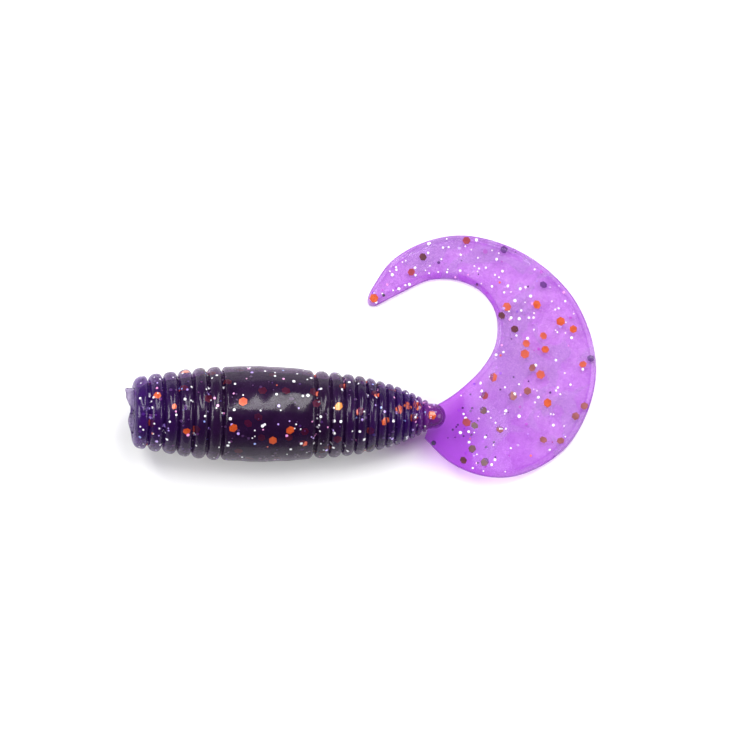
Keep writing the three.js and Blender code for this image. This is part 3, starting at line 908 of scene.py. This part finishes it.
def body_flake(along, degrees, kind, depth, big=True, scale=1.0):
    """A flake at a distance along the axis and degrees round from the top towards +Y. At a
    depth of 0 or less it follows the surface, and deeper it lies between skin and core."""
    u, v, faces, edge = turned_shape(big, scale, 0.78)
    local = float(np.interp(along, *profile.T))
    a = along + u
    t = math.radians(degrees) + v / max(local, 0.6)
    if depth <= 0:
        radius = skin_radius(a, t) - depth
        step = 0.02
        slope = (skin_radius(a + step, t) - skin_radius(a - step, t)) / (2 * step)
    else:
        centre = max(local - depth, float(core_radius(along)) + 0.05)
        radius = np.full(len(a), centre) + rng.uniform(-0.2, 0.2) * u
        radius = np.minimum(radius, np.interp(a, *profile.T) - 0.02)
        radius = np.maximum(radius, core_radius(a) + 0.02)
        slope = np.zeros(len(a))
    top = body_point(a, radius, t)
    radial = np.cos(t)[:, None] * UP + np.sin(t)[:, None] * SIDE
    normal = radial - np.clip(slope, -1.5, 1.5)[:, None] * AXIS
    normal /= np.linalg.norm(normal, axis=1, keepdims=True)
    return add_flake("body", along, top, normal, faces, edge, kind)


def tail_flake(place, share, kind, depth=0.0, big=True, scale=1.0):
    """A flake at a place along the tail and a share of its width; depth 0 is the top."""
    u, v, faces, edge = turned_shape(big, scale, 0.8)
    inner, across, width, middle = tail_line(place)
    margin = (0.5 * scale * (FLAKE_ACROSS if big else DOT_ACROSS) + RIM_MARGIN) / width
    share = min(max(share, margin), 1 - margin)
    spots = inner + across * share * width + np.column_stack([u, v])
    before, after = max(place - 0.05, 0), min(place + 0.05, LAST)
    ahead = blade_height(after) - blade_height(before)
    gap = tail_line(after)[3] - tail_line(before)[3]
    run = max(float(np.linalg.norm(gap)), 1e-6)
    tilt = (spots - spots[0]) @ (gap / run) * (ahead / run)
    lift = blade_thickness(place) / 2 - (depth if depth > 0 else -PROUD)
    height = blade_height(place) + float(wave(*spots[0])) + tilt + lift
    if depth <= 0:
        height = height + uneven_top(*spots.T)
    top = np.column_stack([spots + TAIL_ORIGIN, height])
    slope = -(gap / run) * (ahead / run)
    normal = np.array([slope[0], slope[1], 1.0])
    normal = np.repeat((normal / np.linalg.norm(normal))[None], len(top), 0)
    return add_flake("tail", place, top, normal, faces, edge, kind)


def along_and_turn(point):
    off = point - NOSE
    return float(off @ AXIS), math.degrees(math.atan2(off @ SIDE, off @ UP))


def place_and_share(point):
    """Where on the tail a point lies, by search."""
    spot = point[:2] - TAIL_ORIGIN
    found = []
    for place in np.arange(1.0, LAST, 0.02):
        inner, across, width, middle = tail_line(place)
        off = spot - inner
        share = float(off @ across) / width
        away = abs(across[0] * off[1] - across[1] * off[0])
        found.append((away if -0.05 < share < 1.05 else away + 9, float(place), share))
    return min(found)[1:]


def middle_of(node):
    return sum(np.array(corner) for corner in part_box(node)) / 2 / MM


# the large flakes that the CAD seats, each in its own place, by the strip that they lie on
seated = {}
SMALLER = {1: 0.85, 2: 0.85}
BODY_KINDS = ["orange"] * 6 + ["coral", "gold", "red"]
SUNK = {"coral": 0.03, "red": 0.05}
TAIL_KINDS = ["ruby", "maroon", "rust", "brown", "orange", "rust", "rust", "rust",
              "orange", "orange", "orange"]
for i, kind in enumerate(BODY_KINDS):
    node = "body_flake_%02d" % (i + 1)
    along, degrees = along_and_turn(middle_of(node))
    home = body_flake(along, degrees, kind, SUNK.get(kind, -PROUD), True,
                      SMALLER.get(i + 1, 1.0))
    seated.setdefault(home, []).append(node)
for i, kind in enumerate(TAIL_KINDS):
    node = "tail_flake_%02d" % (i + 1)
    place, share = place_and_share(middle_of(node))
    seated.setdefault(tail_flake(place, share, kind), []).append(node)

# the other large flakes of the side that faces up, with body_flake's or tail_flake's values
BODY_LARGE = [
    (26.84, -10, "orange", -0.012), (32.0, 4, "orange", -0.012), (19.11, 33, "coral", 0.06),
    (19.40, 18, "coral", 0.06), (24.04, 6, "coral", 0.06), (28.33, 13, "orange", -0.01),
    (29.31, 24, "orange", -0.01), (30.39, 31, "orange", -0.01), (29.97, -5, "orange", 0.05),
    (4.14, 9, "orange", -0.012, True, 0.65), (7.82, 23, "red", 0.10), (1.78, -19, "dull", 0.2),
    (25.21, -27, "dull", 0.2), (25.78, 41, "red", 0.2), (6.48, -24, "dull", 0.2),
    (5.20, 39, "red", 0.2), (8.33, 67, "red", 0.2), (9.9, 47, "red", 0.25),
    (13.57, 32, "red", 0.3), (16.08, 32, "red", 0.2), (13.11, -4, "dull", 0.3),
    (16.47, -32, "red", 0.3), (13.54, -33, "dull", 0.4), (12.01, -12, "crimson", 0.12),
    (18.15, -24, "crimson", 0.3), (22.3, 52, "red", 0.2), (20.9, -60, "dull", 0.2),
    (14.8, 66, "dull", 0.4), (11.2, -58, "dull", 0.3),
]
TAIL_LARGE = [
    (5.50, 0.83, "orange"), (4.87, 0.50, "orange"), (5.12, 0.49, "rust"), (4.04, 0.46, "brown"),
    (2.91, 0.23, "ruby"), (5.03, 0.87, "rust"), (4.06, 0.93, "brown"), (4.41, 0.92, "brown"),
    (4.58, 0.96, "brown"), (3.82, 0.83, "brown"), (4.41, 0.41, "brown"), (2.20, 0.47, "maroon"),
    (2.00, 0.72, "maroon"), (1.59, 0.88, "maroon"), (3.13, 0.57, "brown"), (8.42, 0.64, "maroon"),
    (8.63, 0.39, "ruby"), (7.74, 0.93, "ruby"), (4.96, 0.07, "maroon"), (4.82, 0.19, "maroon"),
    (2.70, 0.35, "maroon"), (4.71, 0.31, "rust"),
    (6.25, 0.78, "smoke", 0.50), (7.13, 0.95, "smoke", 0.20), (5.18, 0.96, "smoke", 0.30),
]
for row in BODY_LARGE:
    body_flake(*row)
for row in TAIL_LARGE:
    tail_flake(*row, scale=TAIL_FLAKE_SCALE)

# flakes on the sides and underneath, which nothing in the view from above fixes
for i in range(SIDE_FLAKES):
    degrees = rng.uniform(72, 288)
    kind = rng.choice(["orange", "orange", "coral", "red", "red", "dull", "dull", "crimson"])
    at_surface = kind in ("orange", "coral") and rng.random() < 0.7
    depth = -PROUD if at_surface else rng.uniform(0.1, 0.4)
    body_flake(rng.uniform(0.9, 31.4), degrees, kind, depth)


def small_kind(choices):
    """A kind at random, by weight."""
    total = sum(weight for name, weight in choices)
    pick = rng.uniform(0, total)
    for name, weight in choices:
        pick -= weight
        if pick <= 0:
            return name
    return choices[-1][0]


BODY_SMALL = [("silver", 62), ("pink", 12), ("lilac", 18), ("blue", 6), ("coral", 2)]
TAIL_SMALL = [("silver", 78), ("pink", 9), ("lilac", 5), ("coral", 4), ("speck", 4)]
for i in range(BODY_DOTS):
    along = rng.uniform(0.5, 32.3)
    if rng.random() > float(np.interp(along, [0, 24, 32], [1.0, 0.85, 0.5])):
        continue
    shallow = rng.random() < 0.62
    body_flake(along, rng.uniform(0, 360), small_kind(BODY_SMALL),
               -0.010 if shallow else rng.uniform(0.05, 0.35), False,
               0.42 + 0.58 * rng.random() ** 1.6)
for i in range(TAIL_DOTS):
    place = rng.uniform(1.4, 9.9)
    inner, across, width, middle = tail_line(place)
    if rng.random() > width / 11.0 + 0.12 or rng.random() > min(1.0, place / 3.4):
        continue
    shallow = rng.random() < 0.55
    tail_flake(place, rng.uniform(0.04, 0.96), small_kind(TAIL_SMALL),
               0.0 if shallow else rng.uniform(0.04, 0.7), False,
               0.38 + 0.62 * rng.random() ** 1.6)
tail_flake(0.35, 0.93, "speck", 0.10, False, 1.5)
tail_flake(7.33, 0.74, "pink", 0.20, False, 1.4)
for i in range(ROOT_SPECKS):
    tail_flake(rng.uniform(0.7, 4.2), rng.uniform(0.1, 0.95), "speck", rng.uniform(0.0, 0.6),
               False, rng.uniform(0.4, 0.8))

# each mesh of flakes is placed as its strip is, or follows an end body, and stands for the CAD's
# flakes there
for home, flakes in sorted(glitter.items()):
    part, i = home
    bodies, across = STRIPS[part][1:]
    piece = flakes.build()
    if 0 <= i < len(bodies) - 1:
        across(piece, i)
    else:
        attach(piece, bodies[0 if i < 0 else -1])
    if home in seated:
        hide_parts(*seated[home])

# ------------------------------------------------------------ the gate's torn leaves


def leaf(name, outline, height, lean, node):
    """A torn sheet that stands on the cut face: outline rows are [across, reach]."""
    count, depth = len(outline), 7
    top, bottom, torn = [], [], []
    for i, (across, reach) in enumerate(outline):
        for k in range(depth):
            w = k / (depth - 1)
            ragged = 0.09 * math.sin(7.3 * across + 2.1 * w) * w
            out = -0.12 + (reach + 0.12) * w + ragged
            rise = height + lean * w * w + 0.16 * math.sin(2.9 * across + 1.0)
            thick = (0.19 - 0.13 * w) * (0.55 + 0.45 * math.sin(math.pi * (i + 0.5) / count))
            base = NOSE - AXIS * out + SIDE * across
            top.append(base + UP * (rise + thick))
            bottom.append(base + UP * (rise - thick))
            torn.append(1.0 if k == depth - 1 or i in (0, count - 1) else 0.0)
    n, faces = count * depth, []
    for i in range(count - 1):
        for k in range(depth - 1):
            a, b = i * depth + k, (i + 1) * depth + k
            faces.append((a, a + 1, b + 1, b))
            faces.append((n + a, n + b, n + b + 1, n + a + 1))
    border = [i * depth for i in range(count)]
    border += [(count - 1) * depth + k for k in range(1, depth)]
    border += [i * depth + depth - 1 for i in range(count - 2, -1, -1)]
    border += [k for k in range(depth - 2, 0, -1)]
    faces += [(a, b, n + b, n + a) for a, b in zip(border, border[1:] + border[:1])]
    made = make_mesh(name, top + bottom, faces, [FLASH], fields={"rim": torn + torn})
    smooth = made.modifiers.new("soft", "SUBSURF")
    smooth.levels = smooth.render_levels = 2
    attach(made, "ring_01")
    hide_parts(node)
    return made


leaf("gate_leaf_upper", [(0.05, 0.12), (0.4, 0.22), (0.8, 0.45), (1.2, 0.72), (1.6, 0.82),
                         (2.0, 0.88), (2.4, 0.95), (2.62, 0.80)], 1.1, 0.35, "gate_flash_upper")
leaf("gate_leaf_lower", [(-2.3, 0.18), (-1.9, 0.30), (-1.5, 0.48), (-1.1, 0.55), (-0.7, 0.55),
                         (-0.35, 0.50), (0.0, 0.30)], 0.9, 0.25, "gate_flash_lower")

# ------------------------------------------------------------ floor, light and camera

FLOOR_COLUMNS = 64
FLOOR_RADII = [20.0, 100.0, 400.0, 1200.0, 4000.0]
FLOOR_DROP = 0.03
floor_turns = [2 * math.pi * k / FLOOR_COLUMNS for k in range(FLOOR_COLUMNS)]
floor_points = [(radius * math.cos(turn), radius * math.sin(turn), -FLOOR_DROP)
                for radius in FLOOR_RADII for turn in floor_turns]
floor_faces = [face[-1:] + face[:-1]
               for face in grid_faces(len(FLOOR_RADII), FLOOR_COLUMNS, True)]
floor_faces.append(tuple(range(FLOOR_COLUMNS)))
paper = Nodes("paper")
paper_grain = paper.add("ShaderNodeTexNoise", {"Scale": 900.0}).outputs["Fac"]
floor_spot = paper.add("ShaderNodeTexCoord").outputs["Object"]
floor_distance = paper.add("ShaderNodeVectorMath", {0: floor_spot},
                           operation="LENGTH").outputs["Value"]
PAPER = paper.surface(paper.principled({
    "Base Color": (0.90, 0.90, 0.905),
    "Emission Color": (1.0, 1.0, 1.0),
    "Emission Strength": paper.spread(floor_distance, 0.0, 0.75, 0.25, 1.1),
    "Roughness": 0.75,
    "Normal": paper.bump(paper_grain, 0.00002, 0.3),
}))
floor = make_mesh("floor", floor_points, floor_faces, [PAPER])
floor.data.shade_flat()


def softbox(name, azimuth, zenith, distance, width, height, power):
    """A rectangular light: azimuth from +X, and degrees down from straight above."""
    a, z = math.radians(azimuth), math.radians(zenith)
    away = np.array([math.sin(z) * math.cos(a), math.sin(z) * math.sin(a), math.cos(z)])
    data = bpy.data.lights.new(name, "AREA")
    data.shape = "RECTANGLE"
    data.size, data.size_y = width, height
    data.energy = power
    made = bpy.data.objects.new(name, data)
    right = np.cross(-away, [0.0, 0.0, 1.0])
    right /= np.linalg.norm(right)
    top = np.cross(right, -away)
    axes = np.column_stack([right, top, away, away * distance])
    made.matrix_world = Matrix((*axes.tolist(), (0, 0, 0, 1)))
    bpy.context.scene.collection.objects.link(made)


softbox("softbox_left", 127, 34, 0.9, 0.20, 0.70, 4.5)
softbox("softbox_right", 64, 34, 0.9, 0.24, 0.74, 5.9)
softbox("side_left", 180, 56, 1.0, 0.5, 0.5, 6.8)
softbox("side_right", 0, 56, 1.0, 0.5, 0.5, 5.2)

world = bpy.data.worlds.new("studio")
world.use_nodes = True
bpy.context.scene.world = world
tree = world.node_tree
coordinates, split, sky = (tree.nodes.new("ShaderNode" + kind)
                           for kind in ("TexCoord", "SeparateXYZ", "ValToRGB"))
sky.color_ramp.elements[0].color = (0.62, 0.62, 0.64, 1)
sky.color_ramp.elements[1].position = 0.55
sky.color_ramp.elements[1].color = (0.035, 0.035, 0.04, 1)
tree.links.new(coordinates.outputs["Generated"], split.inputs[0])
tree.links.new(split.outputs["Z"], sky.inputs["Fac"])
tree.links.new(sky.outputs["Color"], tree.nodes["Background"].inputs["Color"])

CAMERA_HEIGHT, VIEW_WIDTH = 1.8, 0.07986
SENSOR_WIDTH = 36.0
camera_data = bpy.data.cameras.new("camera")
camera_data.sensor_width = SENSOR_WIDTH
camera_data.lens = SENSOR_WIDTH * CAMERA_HEIGHT / VIEW_WIDTH
camera_data.clip_start, camera_data.clip_end = 0.05, 10.0
camera = bpy.data.objects.new("camera", camera_data)
camera.location = (0.00124, -0.00186, CAMERA_HEIGHT)
camera.rotation_euler = (0, 0, math.radians(0.76))
bpy.context.scene.collection.objects.link(camera)
bpy.context.scene.camera = camera
bpy.context.scene.view_settings.view_transform = "Standard"
